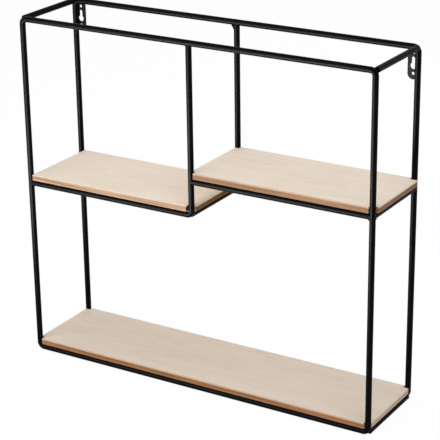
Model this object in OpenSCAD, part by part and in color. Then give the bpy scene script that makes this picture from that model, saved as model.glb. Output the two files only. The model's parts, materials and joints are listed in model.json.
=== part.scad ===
// Wall cube shelf: a welded frame of round steel wire in black powder coat, three loose
// boards that lie on the wires, and two keyhole plates for hanging it on a wall.
// X runs along the wall, -Y faces the room and +Z is up. The origin lies on the floor plane,
// under the middle of the frame.

/* [Frame] */
// Overall width, over the wires
frame_w = 500; // [400:10:700]
// Overall height, over the wires
frame_h = 460; // [400:10:600]
// Overall depth, over the wires
frame_d = 120; // [100:5:200]
// Diameter of the coated wire
wire_d = 7.6; // [6.4:0.2:8]
// Bend radius of the wires, to their centre line
bend_r = 6.5; // [6:0.5:9]

/* [Joints of the wires] */
// How far a flat wire end is pressed into the wire behind it
weld_press = 0.4; // [0.2:0.1:0.8]
// How far a coped wire end reaches round the wire it meets
cope_reach = 2.4; // [1.6:0.2:2.8]

/* [Shelf wires] */
// Height of the left shelf's wires above the floor, to their centre line
left_shelf_h = 238; // [200:1:250]
// Height of the right shelf's wires above the left shelf's, between their centre lines
right_shelf_h = 44; // [20:1:100]
// Place of the divider, right of the frame's middle
divider_x = 0; // [-60:5:60]
// How far the rod under the left board's end stands left of the divider
bend_rod_inset = 2.5; // [2:0.5:4]

/* [Boards] */
// Thickness of the boards
board_t = 8; // [6:0.5:12]
// How far the boards reach in front of the front wires' centre line
board_front = 2.8; // [0:0.2:3.4]
// How far the boards reach behind the rear wires' centre line
board_rear = 1.4; // [0:0.2:1.4]
// Gap under a board, above the wires that it lies on
board_seat = 0.3; // [0.2:0.1:0.5]
// Width of the bevel along the boards' edges
board_bevel = 0.6; // [0.3:0.1:1]
// How far the bottom board reaches past the left uprights' centre line
bottom_board_left = 1.5; // [0:0.5:3.5]
// How far the bottom board reaches past the right uprights' centre line
bottom_board_right = 2.6; // [0:0.2:5]
// How far the left board reaches past the divider's centre line
left_board_right = 4; // [2:0.5:6]
// How far the right board reaches left past the divider's centre line
right_board_left = 2; // [0:0.5:3.5]
// How far the right board reaches past the right uprights' centre line
right_board_right = 6; // [3:0.5:8]

/* [Notches in the boards] */
// Gap between a board's end or notch and the side of an upright
side_gap = 0.4; // [0.3:0.1:1.5]
// Gap between a notch's inner wall and the upright in front of it
back_gap = 0.5; // [0.4:0.1:4]
// Gap between a notch's lower edge and the wire's bend
bend_gap = 0.25; // [0.2:0.05:0.5]

/* [Keyhole plates] */
// Width of a plate, from the upright's centre line inwards
plate_w = 14.4; // [12:0.2:18]
// Thickness of a plate
plate_t = 1.5; // [1:0.1:2]
// How far a plate's back lies in front of the wires' rear side
plate_inset = 0.3; // [0.2:0.1:1]
// Depth of the upper screw hole below the top wires' centre line
upper_hole_drop = 7.8; // [7.4:0.2:9]
// Depth of the keyhole's narrow end below the top wires' centre line
slot_drop = 15; // [14.6:0.2:17]
// Depth of the keyhole's wide hole below the top wires' centre line
head_hole_drop = 24; // [23.4:0.2:25.4]
// Depth of the lower screw hole below the top wires' centre line
lower_hole_drop = 33.2; // [32.6:0.2:38]
// Diameter of the two screw holes
screw_hole_d = 4; // [3:0.5:4.5]
// Width of the keyhole's slot
slot_w = 4.5; // [4:0.5:5]
// Diameter of the keyhole's wide hole
head_hole_d = 8; // [7:0.5:9]

/* [Hidden] */
// Smoothness of the round shapes
$fn = 64;
// Extra length by which a cut runs past what it cuts
past = 1;

wire_r = wire_d / 2;
left_x = wire_r - frame_w / 2;
right_x = -left_x;
front_y = wire_r - frame_d / 2;
rear_y = -front_y;
low_z = wire_r;
top_z = frame_h - wire_r;
right_shelf_z = left_shelf_h + right_shelf_h;

// Where a flat end and a coped end stop, from the centre line of the wire they meet
press_stop = wire_r - weld_press;
cope_stop = wire_r - cope_reach;

// Radius left free inside a bend, and how far from the upright a board may reach into it:
// at the wall, half way round the bend, and at the board's lower face
free_r = bend_r - wire_r - bend_gap;
bend_wall = bend_r - free_r * cos(45);
bend_low = bend_r - sqrt(max(0, free_r * free_r - pow(bend_r - wire_r - board_seat, 2)));
plain_wall = wire_r + side_gap;
notch_depth = wire_r + back_gap;

wire_colour = [0.06, 0.06, 0.065];
board_colour = [0.87, 0.81, 0.75];

// A wire along X from x0 to x1, at depth y and height z
module wire_x(x0, x1, y, z) {
    translate([x0, y, z])
        rotate([0, 90, 0])
            cylinder(r = wire_r, h = x1 - x0);
}

// A wire along Y between the two depths y0 and y1
module wire_y(x, y0, y1, z) {
    translate([x, y1, z])
        rotate([90, 0, 0])
            cylinder(r = wire_r, h = y1 - y0);
}

// An upright wire from height z0 to z1
module wire_z(x, y, z0, z1) {
    translate([x, y, z0])
        cylinder(r = wire_r, h = z1 - z0);
}

// A quarter bend round the centre (x, z), starting at the given angle from +X towards +Z
module bend(x, y, z, start) {
    translate([x, y, z])
        rotate([90, 0, 0])
            rotate([0, 0, start])
                rotate_extrude(angle = 90)
                    translate([bend_r, 0])
                        circle(r = wire_r);
}

// A closed loop of bent wire round the whole front or back, at depth y
module loop(y) {
    for (x = [left_x, right_x])
        wire_z(x, y, low_z + bend_r, top_z - bend_r);
    for (z = [low_z, top_z])
        wire_x(left_x + bend_r, right_x - bend_r, y, z);
    bend(right_x - bend_r, y, top_z - bend_r, 0);
    bend(left_x + bend_r, y, top_z - bend_r, 90);
    bend(left_x + bend_r, y, low_z + bend_r, 180);
    bend(right_x - bend_r, y, low_z + bend_r, 270);
}

module front_frame() {
    color(wire_colour) loop(front_y);
}

module rear_frame() {
    color(wire_colour) loop(rear_y);
}

// A rod between the two loops at one corner, its flat ends pressed against the bends
module corner_rod(x, z) {
    difference() {
        wire_y(x, front_y + press_stop, rear_y - press_stop, z);
        loop(front_y);
        loop(rear_y);
    }
}

module top_left_rod() {
    color(wire_colour) corner_rod(left_x, top_z);
}

module top_right_rod() {
    color(wire_colour) corner_rod(right_x, top_z);
}

module bottom_left_rod() {
    color(wire_colour) corner_rod(left_x, low_z);
}

module bottom_right_rod() {
    color(wire_colour) corner_rod(right_x, low_z);
}

// The left shelf's wire and the divider, bent from one wire: it runs in from the left
// upright, turns up at the divider and ends under the top wire
module divider_wire(y) {
    difference() {
        union() {
            wire_x(left_x + cope_stop, divider_x - bend_r, y, left_shelf_h);
            bend(divider_x - bend_r, y, left_shelf_h + bend_r, 270);
            wire_z(divider_x, y, left_shelf_h + bend_r, top_z - cope_stop);
        }
        wire_z(left_x, y, low_z + bend_r, top_z - bend_r);
        wire_x(left_x + bend_r, right_x - bend_r, y, top_z);
    }
}

module divider_front_wire() {
    color(wire_colour) divider_wire(front_y);
}

module divider_rear_wire() {
    color(wire_colour) divider_wire(rear_y);
}

// The right shelf's wire between the divider and the right upright, coped at both ends
module right_shelf_wire(y) {
    difference() {
        wire_x(divider_x + cope_stop, right_x - cope_stop, y, right_shelf_z);
        wire_z(divider_x, y, left_shelf_h + bend_r, top_z);
        wire_z(right_x, y, low_z + bend_r, top_z - bend_r);
    }
}

module right_shelf_front_wire() {
    color(wire_colour) right_shelf_wire(front_y);
}

module right_shelf_rear_wire() {
    color(wire_colour) right_shelf_wire(rear_y);
}

// A rod between two uprights at the end of a shelf, coped round both and round the
// shelf's wires, which come in from the side
module shelf_rod(x, z, wires_x0, wires_x1) {
    difference() {
        wire_y(x, front_y + cope_stop, rear_y - cope_stop, z);
        for (y = [front_y, rear_y]) {
            wire_z(x, y, z - wire_d, z + wire_d);
            wire_x(wires_x0, wires_x1, y, z);
        }
    }
}

module left_shelf_left_rod() {
    color(wire_colour) shelf_rod(left_x, left_shelf_h, left_x + cope_stop, left_x + wire_d);
}

module right_shelf_left_rod() {
    color(wire_colour)
        shelf_rod(divider_x, right_shelf_z, divider_x + cope_stop, divider_x + wire_d);
}

module right_shelf_right_rod() {
    color(wire_colour)
        shelf_rod(right_x, right_shelf_z, right_x - wire_d, right_x - cope_stop);
}

// The rod under the left board's right end, its flat ends pressed against the bends
module left_shelf_right_rod() {
    rod_x = divider_x - bend_rod_inset;
    color(wire_colour)
        difference() {
            wire_y(rod_x, front_y + press_stop, rear_y - press_stop, left_shelf_h);
            for (y = [front_y, rear_y]) {
                wire_x(rod_x - wire_d - bend_r, divider_x - bend_r, y, left_shelf_h);
                bend(divider_x - bend_r, y, left_shelf_h + bend_r, 270);
            }
        }
}

// A plate beside the right rear upright, with a keyhole between two screw holes
module hanger_plate() {
    end_r = plate_w / 2;
    line_x = right_x - end_r;
    back_y = rear_y + wire_r - plate_inset;
    difference() {
        translate([line_x, back_y, top_z])
            rotate([90, 0, 0])
                linear_extrude(height = plate_t)
                    difference() {
                        union() {
                            translate([-end_r, -lower_hole_drop])
                                square([plate_w, lower_hole_drop - upper_hole_drop]);
                            for (drop = [upper_hole_drop, lower_hole_drop])
                                translate([0, -drop]) circle(r = end_r);
                        }
                        for (drop = [upper_hole_drop, lower_hole_drop])
                            translate([0, -drop]) circle(d = screw_hole_d);
                        translate([0, -slot_drop]) circle(d = slot_w);
                        translate([-slot_w / 2, -head_hole_drop])
                            square([slot_w, head_hole_drop - slot_drop]);
                        translate([0, -head_hole_drop]) circle(d = head_hole_d);
                    }
        loop(rear_y);
    }
}

module right_hanger_plate() {
    color(wire_colour) hanger_plate();
}

module left_hanger_plate() {
    color(wire_colour) mirror([1, 0, 0]) hanger_plate();
}

// The outline of a bevelled board seen along one edge: length l, thickness board_t
module bevelled(l) {
    polygon([
        [board_bevel, 0], [l - board_bevel, 0], [l, board_bevel],
        [l, board_t - board_bevel], [l - board_bevel, board_t],
        [board_bevel, board_t], [0, board_t - board_bevel], [0, board_bevel]
    ]);
}

// A board from x0 to x1 whose wires lie at height shelf_z
module board(x0, x1, shelf_z) {
    y0 = front_y - board_front;
    y1 = rear_y + board_rear;
    translate([x0, y0, shelf_z + wire_r + board_seat])
        intersection() {
            translate([0, y1 - y0, 0])
                rotate([90, 0, 0])
                    linear_extrude(height = y1 - y0) bevelled(x1 - x0);
            translate([x1 - x0, 0, 0])
                rotate([90, 0, -90])
                    mirror([1, 0, 0])
                        linear_extrude(height = x1 - x0) bevelled(y1 - y0);
        }
}

// The two notches at a board's end that clear the uprights at x. The notch reaches
// wall mm towards side (1 is +X), and low mm at the board's lower face
module end_notches(x, shelf_z, side, wall, low) {
    low_h = wire_r + board_seat;
    wall_h = max(low_h, bend_r - free_r * cos(45));
    top_h = low_h + board_t + past;
    outward = plain_wall + right_board_right + left_board_right;
    for (back = [0, 1])
        mirror([0, back, 0])
            translate([x, front_y + notch_depth, shelf_z])
                rotate([90, 0, 0])
                    linear_extrude(height = notch_depth + wire_d)
                        scale([side, 1])
                            polygon([
                                [-outward, 0], [low, 0], [low, low_h],
                                [wall, wall_h], [wall, top_h], [-outward, top_h]
                            ]);
}

module bottom_board() {
    color(board_colour)
        difference() {
            board(left_x - bottom_board_left, right_x + bottom_board_right, low_z);
            end_notches(left_x, low_z, 1, bend_wall, bend_low);
            end_notches(right_x, low_z, -1, bend_wall, bend_low);
        }
}

// The left board's notches are wide enough to clear the whole of the divider's bends
module left_board() {
    color(board_colour)
        difference() {
            board(left_x + plain_wall, divider_x + left_board_right, left_shelf_h);
            end_notches(divider_x, left_shelf_h, -1, bend_r, bend_r);
        }
}

module right_board() {
    color(board_colour)
        difference() {
            board(divider_x - right_board_left, right_x + right_board_right, right_shelf_z);
            end_notches(divider_x, right_shelf_z, 1, plain_wall, plain_wall);
            end_notches(right_x, right_shelf_z, -1, plain_wall, plain_wall);
        }
}

front_frame();
rear_frame();
top_left_rod();
top_right_rod();
bottom_left_rod();
bottom_right_rod();
divider_front_wire();
divider_rear_wire();
right_shelf_front_wire();
right_shelf_rear_wire();
left_shelf_left_rod();
left_shelf_right_rod();
right_shelf_left_rod();
right_shelf_right_rod();
left_hanger_plate();
right_hanger_plate();
bottom_board();
left_board();
right_board();
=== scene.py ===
"""Looks of a wall cube shelf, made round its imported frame.

The welded wires and the keyhole plates get a satin black powder coat, the three loose boards
get a pale grained face with warm brown edges, and the joints of the wires get their weld
beads. A plain studio with a pale floor stands round the object. All sizes are in metres,
and the angles that the classes hold are in degrees.
"""

import json
import logging
import math
from dataclasses import dataclass, field
from enum import Enum
from typing import Iterator

import bmesh
import bpy
from mathutils import Matrix, Vector


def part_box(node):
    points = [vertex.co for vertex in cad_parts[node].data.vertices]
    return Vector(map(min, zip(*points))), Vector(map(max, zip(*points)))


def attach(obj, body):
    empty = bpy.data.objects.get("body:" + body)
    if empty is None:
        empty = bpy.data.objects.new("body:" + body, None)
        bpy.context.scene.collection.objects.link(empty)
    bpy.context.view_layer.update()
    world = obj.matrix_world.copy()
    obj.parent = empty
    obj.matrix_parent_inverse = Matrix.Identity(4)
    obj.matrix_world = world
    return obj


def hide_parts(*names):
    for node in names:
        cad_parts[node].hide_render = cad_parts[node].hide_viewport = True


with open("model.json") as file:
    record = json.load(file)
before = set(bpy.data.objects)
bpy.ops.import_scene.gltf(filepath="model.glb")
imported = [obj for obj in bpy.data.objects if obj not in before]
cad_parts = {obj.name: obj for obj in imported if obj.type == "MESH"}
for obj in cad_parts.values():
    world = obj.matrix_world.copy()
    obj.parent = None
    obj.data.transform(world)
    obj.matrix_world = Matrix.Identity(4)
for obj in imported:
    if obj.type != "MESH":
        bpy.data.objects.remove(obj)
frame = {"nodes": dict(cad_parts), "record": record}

Colour = tuple[float, float, float]
Point = tuple[float, float, float]
Span = tuple[float, float]

LOG = logging.getLogger("wall_shelf")
MM = 0.001
X_AXIS = Vector((1, 0, 0))
Y_AXIS = Vector((0, 1, 0))
Z_AXIS = Vector((0, 0, 1))
WHITE: Colour = (1, 1, 1)

# Where the points of a short straight seam lie, as shares of its length
QUARTERS = (0, 0.25, 0.5, 0.75, 1)


class BoardPlace(Enum):
    """The three loose boards, by the name of their node and body."""

    BOTTOM = "bottom_board"
    LEFT = "left_board"
    RIGHT = "right_board"


class BeadSize(Enum):
    """How thick a weld bead is: its radius in metres."""

    THIN = 0.5 * MM
    PLATE = 0.55 * MM
    TACK = 0.7 * MM
    FILLET = 1.15 * MM
    RUN = 1.7 * MM
    GUSSET = 2.5 * MM


class BoardSide(Enum):
    """The material slots of a board, by their place on its mesh."""

    FACE = 0
    EDGE = 1
    # The ends have a slot of their own, whose colours carry painted light and shade
    END = 2


class Graph:
    """A node tree with short calls for adding nodes and joining them."""

    def __init__(self, tree: bpy.types.NodeTree) -> None:
        """Takes the tree that the calls work on."""
        self.tree = tree

    def add(self, kind: str, **settings: object) -> bpy.types.Node:
        """Adds a node.

        Args:
            kind: the node's type name.
            settings: properties of the node and their values.

        Returns:
            The new node.
        """
        node = self.tree.nodes.new(kind)
        for name, value in settings.items():
            setattr(node, name, value)
        return node

    def feed(self, socket: bpy.types.NodeSocket, value: object) -> None:
        """Links a socket to another one, or sets its plain value.

        Args:
            socket: the input that is fed.
            value: an output socket, a number, a vector or a colour.
        """
        if isinstance(value, bpy.types.NodeSocket):
            self.tree.links.new(value, socket)
        elif socket.type == "RGBA":
            socket.default_value = (*value, 1.0)
        else:
            socket.default_value = value

    def node(self, kind: str, inputs: dict[str, object], **settings: object) -> bpy.types.Node:
        """Adds a node and feeds its inputs by name.

        Args:
            kind: the node's type name.
            inputs: input names with a socket or a plain value each.
            settings: properties of the node and their values.

        Returns:
            The new node.
        """
        node = self.add(kind, **settings)
        for name, value in inputs.items():
            self.feed(node.inputs[name], value)
        return node

    def math(self, operation: str, *values: object) -> bpy.types.NodeSocket:
        """Adds a Math node.

        Args:
            operation: the node's operation, such as MULTIPLY.
            values: one to three sockets or numbers.

        Returns:
            The node's output.
        """
        node = self.add("ShaderNodeMath", operation=operation)
        for socket, value in zip(node.inputs, values):
            self.feed(socket, value)
        return node.outputs[0]

    def ramp(self, value: object, low: float, high: float,
             to_low: float = 0.0) -> bpy.types.NodeSocket:
        """Maps a value to a range that ends at 1, smoothly and clamped.

        Args:
            value: the socket that is mapped.
            low: the value that gives to_low.
            high: the value that gives 1.
            to_low: the result at low.

        Returns:
            The mapped value.
        """
        node = self.node("ShaderNodeMapRange", {
            "Value": value, "From Min": low, "From Max": high, "To Min": to_low, "To Max": 1.0,
        }, interpolation_type="SMOOTHSTEP")
        return node.outputs["Result"]

    def blend(self, factor: object, a: object, b: object) -> bpy.types.NodeSocket:
        """Mixes two colours.

        Args:
            factor: 0 gives a, and 1 gives b.
            a: a colour or a colour socket.
            b: a colour or a colour socket.

        Returns:
            The mixed colour.
        """
        node = self.add("ShaderNodeMix", data_type="RGBA")
        self.feed(node.inputs["Factor"], factor)
        colours = [s for s in node.inputs if s.type == "RGBA"]
        self.feed(colours[0], a)
        self.feed(colours[1], b)
        return next(s for s in node.outputs if s.type == "RGBA")

    def tint(self, base: object, tone: Colour, mask: object,
             share: float) -> bpy.types.NodeSocket:
        """Lays a share of a tone over a base colour, where a mask from 0 to 1 is high."""
        return self.blend(self.math("MULTIPLY", mask, share), base, tone)

    def mix_shaders(self, factor: object, first: object,
                    second: object) -> bpy.types.NodeSocket:
        """Mixes two shaders.

        Args:
            factor: 0 gives the first, and 1 gives the second.
            first: a shader's output.
            second: a shader's output.

        Returns:
            The mixed shader.
        """
        mixed = self.add("ShaderNodeMixShader")
        for socket, value in zip(mixed.inputs, (factor, first, second)):
            self.feed(socket, value)
        return mixed.outputs[0]

    def noise(self, vector: object, detail: float,
              distortion: float = 0.0) -> bpy.types.NodeSocket:
        """Adds a noise texture whose features are about one unit of its vector wide.

        Args:
            vector: where it is read.
            detail: how many octaves it has.
            distortion: how far it is warped.

        Returns:
            The noise, from 0 to 1 with its middle at 0.5.
        """
        node = self.node("ShaderNodeTexNoise", {
            "Vector": vector, "Scale": 1.0, "Detail": detail, "Distortion": distortion,
        })
        return node.outputs["Fac"]

    def stretched(self, length: object, width: object,
                  height: object) -> bpy.types.NodeSocket:
        """Object coordinates divided by three lengths, so that a pattern repeats over them.

        Args:
            length: the length along X, in metres.
            width: the length along Y.
            height: the length along Z.

        Returns:
            The scaled coordinates.
        """
        place = self.add("ShaderNodeTexCoord").outputs["Object"]
        sizes = self.node("ShaderNodeCombineXYZ", {"X": length, "Y": width, "Z": height})
        scaled = self.add("ShaderNodeVectorMath", operation="DIVIDE")
        self.feed(scaled.inputs[0], place)
        self.feed(scaled.inputs[1], sizes.outputs[0])
        return scaled.outputs[0]


def add_object(name: str, data: bpy.types.ID) -> bpy.types.Object:
    """Makes an object and puts it in the scene.

    Args:
        name: the object's name.
        data: its mesh, light or camera.

    Returns:
        The object.
    """
    made = bpy.data.objects.new(name, data)
    bpy.context.scene.collection.objects.link(made)
    return made


def new_group(name: str, kind: str, inputs: dict[str, object],
              outputs: dict[str, str]) -> tuple[Graph, bpy.types.Node, bpy.types.Node]:
    """Makes a node group with named sockets.

    Args:
        name: the group's name.
        kind: the type of its tree.
        inputs: input names with their default number, or with a socket type.
        outputs: output names with their socket type.

    Returns:
        The group as a graph, its input node and its output node.
    """
    tree = bpy.data.node_groups.new(name, kind)
    for label, value in inputs.items():
        is_type = isinstance(value, str)
        made = tree.interface.new_socket(
            label, in_out="INPUT", socket_type=value if is_type else "NodeSocketFloat")
        if not is_type:
            made.default_value = value
    for label, socket_type in outputs.items():
        tree.interface.new_socket(label, in_out="OUTPUT", socket_type=socket_type)
    graph = Graph(tree)
    return graph, graph.add("NodeGroupInput"), graph.add("NodeGroupOutput")


@dataclass(frozen=True)
class OrangePeel:
    """The fine waves and specks of a sprayed and baked coat."""

    wave: float = 1.1 * MM
    speck: float = 0.25 * MM
    patch: float = 22 * MM
    speck_share: float = 0.25

    def group(self) -> bpy.types.NodeTree:
        """Builds the shared node group.

        Returns:
            A group with the outputs Height, from 0 to 1, and Gloss, from -1 to 1.
        """
        graph, given, result = new_group(
            "orange_peel", "ShaderNodeTree",
            {"Wave": self.wave, "Speck": self.speck, "Patch": self.patch},
            {"Height": "NodeSocketFloat", "Gloss": "NodeSocketFloat"})
        wave, speck, patch = (
            graph.noise(graph.stretched(size, size, size), detail=detail)
            for size, detail in ((given.outputs["Wave"], 1.0), (given.outputs["Speck"], 0.0),
                                 (given.outputs["Patch"], 2.0)))
        waves = graph.math("MULTIPLY", wave, 1 - self.speck_share)
        height = graph.math("MULTIPLY_ADD", speck, self.speck_share, waves)
        graph.feed(result.inputs["Height"], height)
        graph.feed(result.inputs["Gloss"], graph.math("MULTIPLY_ADD", patch, 2.0, -1.0))
        return graph.tree


@dataclass(frozen=True)
class BoardGrain:
    """Grain that runs along X: streaks, short pores, and the slow bands of a flat cut.

    The shares of the pores and of the sway are of the streaks' length and width.
    """

    length: float = 50 * MM
    width: float = 5.0 * MM
    layer: float = 9 * MM
    streak_limits: Span = (0.36, 0.66)
    pore_shares: Span = (0.12, 0.10)
    pore_limits: Span = (0.64, 0.78)
    sway_shares: Span = (2.6, 9.0)
    sway_turns: float = 30.0
    width_turns: float = 0.84
    patch_limits: Span = (0.40, 0.60)
    quiet: float = 0.25

    def group(self) -> bpy.types.NodeTree:
        """Builds the shared node group.

        Returns:
            A group with the outputs Streaks, Pores, Bands and Patches, each from 0 to 1.
            Patches is low where the grain is quiet.
        """
        graph, given, result = new_group(
            "board_grain", "ShaderNodeTree",
            {"Length": self.length, "Width": self.width, "Layer": self.layer},
            {name: "NodeSocketFloat" for name in ("Streaks", "Pores", "Bands", "Patches")})
        length, width, layer = (given.outputs[name] for name in ("Length", "Width", "Layer"))
        fine = graph.stretched(length, width, layer)
        short, wide = (
            graph.stretched(graph.math("MULTIPLY", length, along),
                            graph.math("MULTIPLY", width, aside), layer)
            for along, aside in (self.pore_shares, self.sway_shares))
        streaks = graph.noise(fine, detail=4.0, distortion=0.5)
        pores = graph.noise(short, detail=1.0)
        sway = graph.noise(wide, detail=2.0, distortion=0.4)
        across = graph.node("ShaderNodeSeparateXYZ", {"Vector": fine}).outputs["Y"]
        slow = graph.math("MULTIPLY", across, self.width_turns)
        turns = graph.math("MULTIPLY_ADD", sway, self.sway_turns, slow)
        masks = {
            "Streaks": graph.ramp(streaks, *self.streak_limits),
            "Pores": graph.ramp(pores, *self.pore_limits),
            "Bands": graph.math("MULTIPLY_ADD", graph.math("SINE", turns), 0.5, 0.5),
            "Patches": graph.ramp(sway, *self.patch_limits, to_low=self.quiet),
        }
        for name, mask in masks.items():
            graph.feed(result.inputs[name], mask)
        return graph.tree


def new_material(name: str) -> tuple[bpy.types.Material, Graph, bpy.types.Node]:
    """Makes a material with its Principled shader and nothing else.

    Args:
        name: the material's name.

    Returns:
        The material, its graph and its shader node.
    """
    material = bpy.data.materials.new(name)
    material.use_nodes = True
    graph = Graph(material.node_tree)
    return material, graph, material.node_tree.nodes["Principled BSDF"]


@dataclass(frozen=True, kw_only=True)
class Finish:
    """What every finish has: a name, its roughness and sheen, and the depth of its relief."""

    name: str
    roughness: float
    roughness_swing: float
    specular: float
    depth: float

    def dress(self, graph: Graph, shader: bpy.types.Node, colour: bpy.types.NodeSocket,
              swing: bpy.types.NodeSocket, relief: bpy.types.NodeSocket) -> None:
        """Feeds the material's shader.

        Args:
            graph: the material's graph.
            shader: its shader node.
            colour: the colour over the surface.
            swing: where the roughness swings, as a share of roughness_swing.
            relief: the height over the surface, as a share of depth.
        """
        graph.feed(shader.inputs["Base Color"], colour)
        rough = graph.math("MULTIPLY_ADD", swing, self.roughness_swing, self.roughness)
        graph.feed(shader.inputs["Roughness"], rough)
        shader.inputs["Specular IOR Level"].default_value = self.specular
        bump = graph.node("ShaderNodeBump", {
            "Strength": 1.0, "Distance": self.depth, "Height": relief,
        })
        graph.feed(shader.inputs["Normal"], bump.outputs["Normal"])


@dataclass(frozen=True, kw_only=True)
class PowderCoat(Finish):
    """Satin black powder coat on steel."""

    name: str = "satin_black_coat"
    colour: Colour = (0.0012, 0.0012, 0.0013)
    dust: Colour = (0.0026, 0.0026, 0.0028)
    dust_limits: Span = (-0.4, 0.5)
    roughness: float = 0.36
    roughness_swing: float = 0.05
    specular: float = 0.030
    depth: float = 0.022 * MM

    def material(self, peel: bpy.types.NodeTree) -> bpy.types.Material:
        """Builds the material.

        Args:
            peel: the shared group that gives the coat's waves.

        Returns:
            The material.
        """
        material, graph, shader = new_material(self.name)
        coat = graph.add("ShaderNodeGroup", node_tree=peel).outputs
        dusty = graph.ramp(coat["Gloss"], *self.dust_limits)
        colour = graph.blend(dusty, self.colour, self.dust)
        self.dress(graph, shader, colour, coat["Gloss"], coat["Height"])
        return material


@dataclass(frozen=True, kw_only=True)
class BoardFace(Finish):
    """The pale matt face of the boards, with faint grain along their length."""

    name: str = "pale_board_face"
    pale: Colour = (0.822, 0.711, 0.598)
    streak: Colour = (0.700, 0.585, 0.460)
    pore: Colour = (0.560, 0.450, 0.335)
    band_share: float = 0.20
    streak_share: float = 0.44
    pore_share: float = 0.12
    roughness: float = 0.58
    roughness_swing: float = 0.08
    specular: float = 0.15
    depth: float = 0.018 * MM
    streak_sink: float = 0.2
    pore_sink: float = 0.8

    def material(self, grain: bpy.types.NodeTree) -> bpy.types.Material:
        """Builds the material.

        Args:
            grain: the shared group that gives the grain.

        Returns:
            The material.
        """
        material, graph, shader = new_material(self.name)
        wood = graph.add("ShaderNodeGroup", node_tree=grain).outputs
        streaks, pores = wood["Streaks"], wood["Pores"]
        figure = graph.math("MULTIPLY", streaks, wood["Patches"])
        banded = graph.tint(self.pale, self.streak, wood["Bands"], self.band_share)
        streaked = graph.tint(banded, self.streak, figure, self.streak_share)
        colour = graph.tint(streaked, self.pore, pores, self.pore_share)
        sunk = graph.math("MULTIPLY", streaks, -self.streak_sink)
        relief = graph.math("MULTIPLY_ADD", pores, -self.pore_sink, sunk)
        self.dress(graph, shader, colour, streaks, relief)
        return material


@dataclass(frozen=True, kw_only=True)
class BoardEdge(Finish):
    """A brown edge of a board, with a lighter arris under its top face that is partly its pale
    top veneer and partly a painted highlight.

    The heights are shares of the board's thickness, from its underside.
    """

    core: Colour
    dark: Colour
    line: Colour
    arris: Colour
    streak_length: float = 70 * MM
    streak_height: float = 2.2 * MM
    streak_share: float = 0.9
    line_share: float = 0.6
    line_heights: Span = (0.34, 0.18)
    arris_heights: Span = (0.66, 0.97)
    specular: float = 0.01
    roughness: float = 0.55
    roughness_swing: float = 0.1
    depth: float = 0.02 * MM

    def material(self, grain: bpy.types.NodeTree) -> bpy.types.Material:
        """Builds the material.

        Args:
            grain: the shared group that gives the grain.

        Returns:
            The material.
        """
        material, graph, shader = new_material(self.name)
        wood = graph.node("ShaderNodeGroup", {
            "Length": self.streak_length, "Width": self.streak_length,
            "Layer": self.streak_height,
        }, node_tree=grain).outputs
        height = graph.add("ShaderNodeAttribute", attribute_name=Board.SHARE).outputs["Fac"]
        streaks = wood["Streaks"]
        core = graph.tint(self.core, self.dark, streaks, self.streak_share)
        low_line = graph.ramp(height, *self.line_heights)
        lined = graph.tint(core, self.line, low_line, self.line_share)
        # Painted highlight: the upper third of the edge blends towards the arris colour, wider
        # than the rounding, and partly stands for the pale top veneer
        colour = graph.blend(graph.ramp(height, *self.arris_heights), lined, self.arris)
        relief = graph.math("ADD", streaks, wood["Pores"])
        self.dress(graph, shader, colour, streaks, relief)
        return material


# The boards' long edges and their ends, each board with its own brown, set partly as painted
# light and shade: the bottom board's darker edge is partly painted shade from the shelves above
# The arris colours are partly the pale top veneer and partly a painted highlight on the rounded
# arris
PALE_ARRIS_HIGHLIGHT = (0.745, 0.612, 0.468)
BROWN_ARRIS_HIGHLIGHT = (0.590, 0.450, 0.342)
END_ARRIS_HIGHLIGHT = (0.800, 0.670, 0.540)
EDGES = {
    BoardPlace.BOTTOM: BoardEdge(
        name="bottom_board_edge", core=(0.348, 0.165, 0.072), dark=(0.225, 0.101, 0.042),
        line=(0.360, 0.180, 0.080), arris=BROWN_ARRIS_HIGHLIGHT),
    BoardPlace.LEFT: BoardEdge(
        name="left_board_edge", core=(0.515, 0.335, 0.220), dark=(0.360, 0.208, 0.120),
        line=(0.600, 0.415, 0.290), arris=PALE_ARRIS_HIGHLIGHT),
    BoardPlace.RIGHT: BoardEdge(
        name="right_board_edge", core=(0.394, 0.221, 0.127), dark=(0.298, 0.157, 0.082),
        line=(0.415, 0.235, 0.130), arris=BROWN_ARRIS_HIGHLIGHT),
}
# Painted light and shade on the ends: the left board's end is dark as painted shade under the
# right board and the divider, the right board's end is darker as painted shade, and the bottom
# board's end is pale as painted light
LIT_AND_SHADED_ENDS = {
    BoardPlace.BOTTOM: BoardEdge(
        name="bottom_board_end_painted_light", core=(0.560, 0.425, 0.335), dark=(0.455, 0.330, 0.245),
        line=(0.610, 0.480, 0.385), arris=END_ARRIS_HIGHLIGHT),
    BoardPlace.LEFT: BoardEdge(
        name="left_board_end_painted_shade", core=(0.165, 0.086, 0.036), dark=(0.115, 0.057, 0.023),
        line=(0.210, 0.120, 0.060), arris=END_ARRIS_HIGHLIGHT),
    BoardPlace.RIGHT: BoardEdge(
        name="right_board_end_painted_shade", core=(0.265, 0.153, 0.100), dark=(0.200, 0.110, 0.069),
        line=(0.330, 0.205, 0.142), arris=END_ARRIS_HIGHLIGHT),
}


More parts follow.
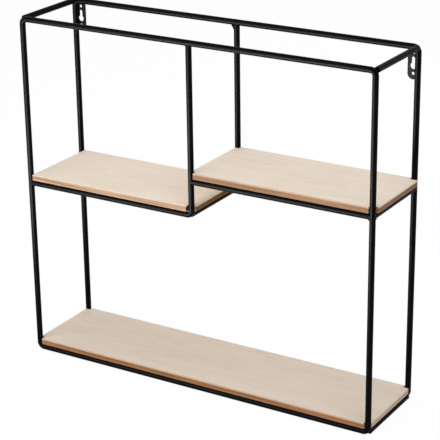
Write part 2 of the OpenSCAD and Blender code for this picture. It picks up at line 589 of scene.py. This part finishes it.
@dataclass
class Frame:
    """Places and sizes of the wires, read from the nodes' boxes."""

    wire: float = field(init=False)
    left: float = field(init=False)
    right: float = field(init=False)
    front: float = field(init=False)
    rear: float = field(init=False)
    low: float = field(init=False)
    top: float = field(init=False)
    divider: float = field(init=False)
    left_shelf: float = field(init=False)
    right_shelf: float = field(init=False)
    bend: float = 6.5 * MM

    def __post_init__(self) -> None:
        """Reads the boxes. The wire's size is its radius, and the places are centre lines."""
        low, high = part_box("front_frame")
        rear_low, rear_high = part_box("rear_frame")
        self.wire = (high.y - low.y) / 2
        self.left = low.x + self.wire
        self.right = high.x - self.wire
        self.front = (low.y + high.y) / 2
        self.rear = (rear_low.y + rear_high.y) / 2
        self.low = low.z + self.wire
        self.top = high.z - self.wire
        bent_low, bent_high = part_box("divider_front_wire")
        self.divider = bent_high.x - self.wire
        self.left_shelf = bent_low.z + self.wire
        shelf_low, shelf_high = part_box("right_shelf_front_wire")
        self.right_shelf = (shelf_low.z + shelf_high.z) / 2

    def depths(self) -> Iterator[tuple[float, float]]:
        """Gives the depth of each loop, with the direction towards the other one."""
        yield self.front, 1.0
        yield self.rear, -1.0


@dataclass
class Seam:
    """The line that a weld bead follows, and its thickness."""

    points: list[Vector]
    radius: float


@dataclass
class WeldBeads:
    """The weld beads of the wires' joints: small rippled fillets in the corners."""

    wires: Frame
    steps: int = 14
    sides: int = 12
    rings_per_ripple: int = 5
    tee_spread: float = 66.0
    lift_share: float = 0.15
    ripple_length: float = 0.9 * MM
    ripple_depth: float = 0.07
    end_power: float = 4.0
    end_bulge: float = 0.004
    run_start: float = 1.0 * MM
    run_length: float = 4.6 * MM
    corner_spread: float = 78.0
    under_divider_arc: Span = (190.0, 228.0)
    plate_heights: Span = (0.24, 0.68)
    plate_half_length: float = 3.2 * MM

    def tee_seam(self, joint: Vector, main: Vector, branch: Vector, size: BeadSize) -> Seam:
        """The seam on one side of a wire that ends square on another.

        Args:
            joint: where the two centre lines meet.
            main: the direction along the wire that runs through, to the seam's side.
            branch: the direction in which the wire leaves it.
            size: how thick the bead is.

        Returns:
            The seam, in the corner between the two wires.
        """
        radius = self.wires.wire
        across = main.cross(branch)
        out = (main + branch).normalized() * size.value * self.lift_share
        spread = math.radians(self.tee_spread)
        points = []
        for step in range(self.steps + 1):
            turn = spread * (2 * step / self.steps - 1)
            side = main * math.cos(turn) + across * math.sin(turn) + branch * math.cos(turn)
            points.append(joint + side * radius + out)
        return Seam(points, size.value)

    def rod_end_seam(self, rod: Vector, inward: float, bend: Vector, arc: Span,
                     size: BeadSize) -> Seam:
        """The seam round a rod's flat end that is pressed against the back of a bend.

        Args:
            rod: the rod's centre line at the depth of the bent wire.
            inward: 1 where the rod runs to the rear, -1 where it runs to the front.
            bend: the centre of the bend.
            arc: the angles from +X towards +Z between which the seam runs, in degrees.
            size: how thick the bead is.

        Returns:
            The seam, in the corner between the rod's side and the wire's back.
        """
        radius = self.wires.wire
        start, end = (math.radians(a) for a in arc)
        points = []
        for step in range(self.steps + 1):
            angle = start + (end - start) * step / self.steps
            point = rod + (X_AXIS * math.cos(angle) + Z_AXIS * math.sin(angle)) * radius
            reach = (point - bend).length - self.wires.bend
            rise = math.sqrt(max(radius ** 2 - reach ** 2, 0.0))
            points.append(point + Y_AXIS * inward * rise)
        return Seam(points, size.value)

    def divider_seams(self) -> Iterator[Seam]:
        """The beads at the divider's top and under the right shelf's left end.

        Returns:
            Three seams for each loop, and the second pass at the rear.
        """
        w = self.wires
        for depth, _ in w.depths():
            top = Vector((w.divider, depth, w.top))
            left_size = BeadSize.GUSSET if depth == w.rear else BeadSize.TACK
            yield self.tee_seam(top, -X_AXIS, -Z_AXIS, left_size)
            yield self.tee_seam(top, X_AXIS, -Z_AXIS, BeadSize.TACK)
            side = Vector((w.divider, depth, w.right_shelf))
            yield self.tee_seam(side, -Z_AXIS, X_AXIS, BeadSize.TACK)
        yield self.gusset_run()

    def gusset_run(self) -> Seam:
        """The second pass under the rear divider's large bead.

        Returns:
            The seam, down the divider's left side.
        """
        w = self.wires
        start = Vector((w.divider - w.wire, w.rear, w.top - w.wire - self.run_start))
        return Seam([start - Z_AXIS * self.run_length * t for t in QUARTERS],
                    BeadSize.RUN.value)

    def upright_seams(self) -> Iterator[Seam]:
        """The beads under the shelf wires and the shelf rods, at the uprights.

        Returns:
            Two seams at each end upright, and one under the rod at the divider.
        """
        w = self.wires
        shelves = ((w.left, w.left_shelf, X_AXIS), (w.right, w.right_shelf, -X_AXIS))
        for depth, inward in w.depths():
            for x, height, along in shelves:
                joint = Vector((x, depth, height))
                yield self.tee_seam(joint, -Z_AXIS, along, BeadSize.FILLET)
                yield self.tee_seam(joint, -Z_AXIS, Y_AXIS * inward, BeadSize.FILLET)
            joint = Vector((w.divider, depth, w.right_shelf))
            yield self.tee_seam(joint, -Z_AXIS, Y_AXIS * inward, BeadSize.TACK)

    def corner_seams(self) -> Iterator[Seam]:
        """The beads at the ends of the four corner rods and of the rod under the divider.

        Returns:
            Five seams for each loop.
        """
        w = self.wires
        for depth, inward in w.depths():
            for x, side in ((w.left, 1.0), (w.right, -1.0)):
                for z, up in ((w.low, 1.0), (w.top, -1.0)):
                    rod = Vector((x, depth, z))
                    bend = rod + Vector((side, 0, up)) * w.bend
                    middle = math.degrees(math.atan2(up, side))
                    arc = (middle - self.corner_spread, middle + self.corner_spread)
                    yield self.rod_end_seam(rod, inward, bend, arc, BeadSize.THIN)
            low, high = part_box("left_shelf_right_rod")
            rod = Vector(((low.x + high.x) / 2, depth, w.left_shelf))
            bend = Vector((w.divider - w.bend, depth, w.left_shelf + w.bend))
            yield self.rod_end_seam(rod, inward, bend, self.under_divider_arc, BeadSize.TACK)

    def plate_seams(self) -> Iterator[Seam]:
        """The short beads that hold each keyhole plate to its upright.

        Returns:
            Two seams for each plate.
        """
        w = self.wires
        plates = (("left_hanger_plate", w.left, 1.0), ("right_hanger_plate", w.right, -1.0))
        for name, x, side in plates:
            low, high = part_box(name)
            depth = low.y - w.rear
            reach = x + side * math.sqrt(w.wire ** 2 - depth ** 2)
            for share in self.plate_heights:
                middle = low.z + (high.z - low.z) * share
                rises = [self.plate_half_length * (2 * t - 1) for t in QUARTERS]
                points = [Vector((reach, low.y, middle + rise)) for rise in rises]
                yield Seam(points, BeadSize.PLATE.value)

    def seams(self) -> Iterator[Seam]:
        """Every seam of the frame.

        Returns:
            The seams, joint by joint.
        """
        yield from self.divider_seams()
        yield from self.upright_seams()
        yield from self.corner_seams()
        yield from self.plate_seams()

    def clear_of_wall(self, seam: Seam) -> list[Vector]:
        """Gives a seam's points, kept so far forward that its bead stays off the wall."""
        limit = self.wires.rear + self.wires.wire - seam.radius * (1 + self.ripple_depth)
        return [Vector((p.x, min(p.y, limit), p.z)) for p in seam.points]

    def paths(self) -> bpy.types.Object:
        """Makes one mesh of the seams' lines, with the bead's radius at each point.

        Returns:
            An object that holds only edges.
        """
        points: list[Vector] = []
        edges: list[tuple[int, int]] = []
        radii: list[float] = []
        for seam in self.seams():
            first = len(points)
            points.extend(self.clear_of_wall(seam))
            edges.extend((first + i, first + i + 1) for i in range(len(seam.points) - 1))
            radii.extend([seam.radius] * len(seam.points))
        mesh = bpy.data.meshes.new("weld_beads")
        mesh.from_pydata([tuple(p) for p in points], edges, [])
        mesh.attributes.new("bead_radius", "FLOAT", "POINT").data.foreach_set("value", radii)
        return add_object("weld_beads", mesh)

    def tree(self) -> bpy.types.NodeTree:
        """Builds the node tree that turns seam lines into rippled beads.

        Returns:
            The tree, with named inputs for the bead's sizes.
        """
        graph, given, result = new_group("weld_bead_tree", "GeometryNodeTree", {
            "Seams": "NodeSocketGeometry", "Ripple Length": self.ripple_length,
            "Ripple Depth": self.ripple_depth, "Sides": "NodeSocketInt",
            "Finish": "NodeSocketMaterial",
        }, {"Beads": "NodeSocketGeometry"})
        size = given.outputs
        lines = graph.node("GeometryNodeMeshToCurve", {"Mesh": size["Seams"]})
        spacing = graph.math("MULTIPLY", size["Ripple Length"], 1 / self.rings_per_ripple)
        even = graph.node("GeometryNodeResampleCurve", {
            "Curve": lines.outputs["Curve"], "Length": spacing,
        }, mode="LENGTH")
        along = graph.add("GeometryNodeSplineParameter")
        centred = graph.math("MULTIPLY_ADD", along.outputs["Factor"], 2.0, -1.0)
        fall = graph.math("POWER", graph.math("ABSOLUTE", centred), self.end_power)
        bulge = graph.math("MAXIMUM", graph.math("SUBTRACT", 1.0, fall), self.end_bulge)
        taper = graph.math("SQRT", bulge)
        ripples = graph.math("DIVIDE", along.outputs["Length"], size["Ripple Length"])
        wave = graph.math("SINE", graph.math("MULTIPLY", ripples, math.tau))
        ripple = graph.math("MULTIPLY_ADD", wave, size["Ripple Depth"], 1.0)
        radius = graph.node("GeometryNodeInputNamedAttribute", {"Name": "bead_radius"},
                            data_type="FLOAT").outputs["Attribute"]
        scale = graph.math("MULTIPLY", radius, graph.math("MULTIPLY", taper, ripple))
        ring = graph.node("GeometryNodeCurvePrimitiveCircle", {
            "Resolution": size["Sides"], "Radius": 1.0,
        })
        tube = graph.node("GeometryNodeCurveToMesh", {
            "Curve": even.outputs["Curve"], "Profile Curve": ring.outputs["Curve"],
            "Scale": scale, "Fill Caps": True,
        })
        smooth = graph.node("GeometryNodeSetShadeSmooth", {"Geometry": tube.outputs["Mesh"]})
        plain = graph.node("GeometryNodeRealizeInstances", {"Geometry": smooth.outputs[0]})
        dressed = graph.node("GeometryNodeSetMaterial", {
            "Geometry": plain.outputs[0], "Material": size["Finish"],
        })
        graph.feed(result.inputs["Beads"], dressed.outputs[0])
        return graph.tree

    def build(self, finish: bpy.types.Material) -> bpy.types.Object:
        """Makes the beads as one plain mesh that moves with the frame.

        Args:
            finish: the beads' material.

        Returns:
            The piece.
        """
        beads = self.paths()
        modifier = beads.modifiers.new("beads", "NODES")
        modifier.node_group = self.tree()
        values = {"Ripple Length": self.ripple_length, "Ripple Depth": self.ripple_depth,
                  "Sides": self.sides, "Finish": finish}
        for item in modifier.node_group.interface.items_tree:
            if item.in_out == "INPUT" and item.name in values:
                modifier[item.identifier] = values[item.name]
        bake_modifiers(beads)
        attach(beads, "frame")
        return beads


def bake_modifiers(piece: bpy.types.Object) -> None:
    """Turns a piece with modifiers into a plain mesh.

    Args:
        piece: the object, which keeps its name.
    """
    bpy.context.view_layer.update()
    evaluated = piece.evaluated_get(bpy.context.evaluated_depsgraph_get())
    mesh = bpy.data.meshes.new_from_object(evaluated)
    piece.modifiers.clear()
    piece.data = mesh
    mesh.name = piece.name


@dataclass
class WireWork:
    """The welded frame: wires and keyhole plates."""

    coat: bpy.types.Material

    def dress(self) -> int:
        """Gives the frame's nodes their finish.

        Returns:
            How many nodes were dressed.
        """
        names = frame["record"]["behaviour"]["bodies"]["frame"]
        for name in names:
            for slot in frame["nodes"][name].material_slots:
                slot.material = self.coat
        return len(names)


@dataclass
class Board:
    """One loose board, with its arrises rounded and its faces, edges and ends told apart."""

    # The attribute that the edges' finish reads, and how upright a level face's normal is
    SHARE = "height_share"
    LEVEL = 0.999

    place: BoardPlace
    face: bpy.types.Material
    edge: bpy.types.Material
    end: bpy.types.Material
    rounding: float = 0.22 * MM
    rounding_steps: int = 3
    merge: float = 0.002 * MM
    flat_angle: float = 0.5
    sharp_angle: float = 20.0

    @staticmethod
    def side_of(normal: Vector) -> BoardSide:
        """Tells a board's faces, its long edges and its ends apart.

        Args:
            normal: the direction in which a part of the surface faces.

        Returns:
            The side that it belongs to.
        """
        if abs(normal.z) > Board.LEVEL:
            return BoardSide.FACE
        return BoardSide.END if abs(normal.x) > abs(normal.y) else BoardSide.EDGE

    def shape(self) -> bpy.types.Mesh:
        """Copies the node's mesh, joins its loose triangles and rounds its arrises.

        Returns:
            The board's mesh.
        """
        mesh = bpy.data.meshes.new(f"{self.place.value}_panel")
        for finish in (self.face, self.edge, self.end):
            mesh.materials.append(finish)
        work = bmesh.new()
        work.from_mesh(frame["nodes"][self.place.value].data)
        bmesh.ops.remove_doubles(work, verts=work.verts, dist=self.merge)
        bmesh.ops.dissolve_limit(work, angle_limit=math.radians(self.flat_angle),
                                 verts=work.verts, edges=work.edges)
        least = math.radians(self.sharp_angle)
        sharp = [e for e in work.edges if e.is_manifold and e.calc_face_angle(0.0) > least]
        bmesh.ops.bevel(work, geom=sharp, offset=self.rounding, offset_type="OFFSET",
                        segments=self.rounding_steps, profile=0.5, affect="EDGES",
                        clamp_overlap=True)
        bmesh.ops.recalc_face_normals(work, faces=work.faces)
        for part in work.faces:
            part.material_index = self.side_of(part.normal).value
            part.smooth = True
        work.to_mesh(mesh)
        work.free()
        return mesh

    def mark_heights(self, mesh: bpy.types.Mesh) -> None:
        """Stores how far up the board's thickness each point lies.

        Args:
            mesh: the board's mesh.
        """
        low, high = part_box(self.place.value)
        shares = [(v.co.z - low.z) / (high.z - low.z) for v in mesh.vertices]
        mesh.attributes.new(self.SHARE, "FLOAT", "POINT").data.foreach_set("value", shares)

    def build(self) -> bpy.types.Object:
        """Makes the board in place of its plain node.

        Returns:
            The piece.
        """
        mesh = self.shape()
        self.mark_heights(mesh)
        piece = add_object(f"{self.place.value}_panel", mesh)
        weighted = piece.modifiers.new("flat faces stay flat", "WEIGHTED_NORMAL")
        weighted.keep_sharp = True
        bake_modifiers(piece)
        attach(piece, self.place.value)
        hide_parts(self.place.value)
        return piece


@dataclass(frozen=True, kw_only=True)
class SoftLamp:
    """One soft box of the studio."""

    name: str
    place: Point
    aim: Point
    width: float
    height: float
    power: float
    in_gloss: bool = True
    in_diffuse: bool = True

    def build(self) -> bpy.types.Object:
        """Makes the lamp.

        Returns:
            The lamp's object.
        """
        light = bpy.data.lights.new(self.name, "AREA")
        light.shape = "RECTANGLE"
        light.size = self.width
        light.size_y = self.height
        light.energy = self.power
        lamp = add_object(self.name, light)
        lamp.location = self.place
        towards = Vector(self.aim) - Vector(self.place)
        lamp.rotation_euler = towards.to_track_quat("-Z", "Y").to_euler()
        lamp.visible_glossy = self.in_gloss
        lamp.visible_diffuse = self.in_diffuse
        lamp.visible_camera = False
        return lamp


# The first four light the object and don't show in its gloss, and the last two show only there
LAMPS = (
    SoftLamp(name="top_box", place=(-0.15, -0.04, 1.8), aim=(0, 0, 0.2),
             width=1.5, height=1.0, power=12.5, in_gloss=False),
    SoftLamp(name="rear_fill", place=(-0.10, 1.50, 0.75), aim=(0, 0, 0.15),
             width=1.4, height=0.8, power=3.1, in_gloss=False),
    SoftLamp(name="front_box", place=(-0.62, -1.25, 0.55), aim=(0, 0, 0.26),
             width=1.1, height=0.9, power=10.0, in_gloss=False),
    SoftLamp(name="right_fill", place=(1.25, -0.85, 0.75), aim=(0, 0, 0.12),
             width=1.0, height=0.8, power=6.5, in_gloss=False),
    SoftLamp(name="sheen_box", place=(-0.73, -1.26, 0.50), aim=(0, 0, 0.25),
             width=0.8, height=0.7, power=22.0, in_diffuse=False),
    SoftLamp(name="floor_glow", place=(-0.30, -0.82, 0.02), aim=(-0.30, -0.82, 1.0),
             width=0.8, height=0.8, power=80.0, in_diffuse=False),
)


@dataclass
class Studio:
    """A pale floor, soft light from above, in front and behind, and the camera."""

    floor_half: float = 14.0
    floor_drop: float = 0.1 * MM
    floor_colour: Colour = (0.95, 0.95, 0.95)
    floor_white: float = 0.97
    ambient: float = 0.395
    aim: Point = (0.00756, -0.00205, 0.2152)
    distance: float = 2.088
    azimuth: float = 31.488
    elevation: float = 21.05
    roll: float = -0.765
    lens: float = 135.76
    sensor: float = 36.0
    clip: Span = (0.01, 100.0)

    def seen_directly(self, graph: Graph) -> bpy.types.NodeSocket:
        """Tells rays from the camera, mirrored rays and rays through glass from others.

        Args:
            graph: the tree that the nodes are added to.

        Returns:
            A value that is 1 for such rays, else 0.
        """
        path = graph.add("ShaderNodeLightPath").outputs
        shiny = graph.math("MAXIMUM", path["Is Glossy Ray"], path["Is Transmission Ray"])
        return graph.math("MAXIMUM", path["Is Camera Ray"], shiny)

    def floor(self) -> bpy.types.Object:
        """Makes the floor, white to the camera but for the object's shadow.

        Returns:
            The floor's object.
        """
        material, graph, shader = new_material("pale_floor")
        graph.tree.nodes.remove(shader)
        output = graph.tree.nodes["Material Output"]
        matt = graph.node("ShaderNodeBsdfDiffuse", {"Color": self.floor_colour})
        white = graph.node("ShaderNodeEmission", {"Color": WHITE, "Strength": 1.0})
        share = graph.math("MULTIPLY", self.seen_directly(graph), self.floor_white)
        mixed = graph.mix_shaders(share, matt.outputs[0], white.outputs[0])
        graph.feed(output.inputs["Surface"], mixed)
        half, level = self.floor_half, -self.floor_drop
        corners = [(x * half, y * half, level) for x, y in ((-1, -1), (1, -1), (1, 1), (-1, 1))]
        mesh = bpy.data.meshes.new("floor")
        mesh.from_pydata(corners, [], [(0, 1, 2, 3)])
        mesh.materials.append(material)
        made = add_object("floor", mesh)
        return made

    def surroundings(self) -> None:
        """Makes the world: white where it is seen, and a plain pale light elsewhere."""
        world = bpy.data.worlds.new("studio")
        world.use_nodes = True
        bpy.context.scene.world = world
        graph = Graph(world.node_tree)
        plain = world.node_tree.nodes["Background"]
        graph.feed(plain.inputs["Color"], WHITE)
        graph.feed(plain.inputs["Strength"], self.ambient)
        white = graph.node("ShaderNodeBackground", {"Color": WHITE, "Strength": 1.0})
        mixed = graph.mix_shaders(self.seen_directly(graph), plain.outputs[0],
                                  white.outputs[0])
        graph.feed(world.node_tree.nodes["World Output"].inputs["Surface"], mixed)

    def camera(self) -> bpy.types.Object:
        """Makes the camera at the photograph's angle.

        Returns:
            The camera's object.
        """
        turn, rise = math.radians(self.azimuth), math.radians(self.elevation)
        back = Vector((math.sin(turn) * math.cos(rise), -math.cos(turn) * math.cos(rise),
                       math.sin(rise)))
        right = Z_AXIS.cross(back).normalized()
        right = Matrix.Rotation(math.radians(self.roll), 3, back) @ right
        up = back.cross(right)
        data = bpy.data.cameras.new("camera")
        data.sensor_width = self.sensor
        data.lens = self.lens
        data.clip_start, data.clip_end = self.clip
        made = add_object("camera", data)
        facing = Matrix((right, up, back)).transposed().to_4x4()
        made.matrix_world = Matrix.Translation(Vector(self.aim) + back * self.distance) @ facing
        bpy.context.scene.camera = made
        return made

    def build(self) -> None:
        """Makes the whole studio."""
        self.floor()
        self.surroundings()
        for lamp in LAMPS:
            lamp.build()
        self.camera()
        bpy.context.scene.view_settings.view_transform = "Standard"


def main() -> None:
    """Builds the looks in order and reports each piece."""
    bpy.context.view_layer.update()
    Studio().build()
    peel, grain = OrangePeel().group(), BoardGrain().group()
    coat = PowderCoat().material(peel)
    count = WireWork(coat).dress()
    LOG.info("dressed %d wires and plates", count)
    beads = WeldBeads(Frame()).build(coat)
    LOG.info("made %s with %d faces", beads.name, len(beads.data.polygons))
    face = BoardFace().material(grain)
    for place in BoardPlace:
        edge, end = EDGES[place].material(grain), LIT_AND_SHADED_ENDS[place].material(grain)
        piece = Board(place, face, edge, end).build()
        LOG.info("made %s with %d faces", piece.name, len(piece.data.polygons))
    bpy.context.view_layer.update()


if __name__ == "__main__":
    logging.basicConfig(level=logging.INFO)
    main()
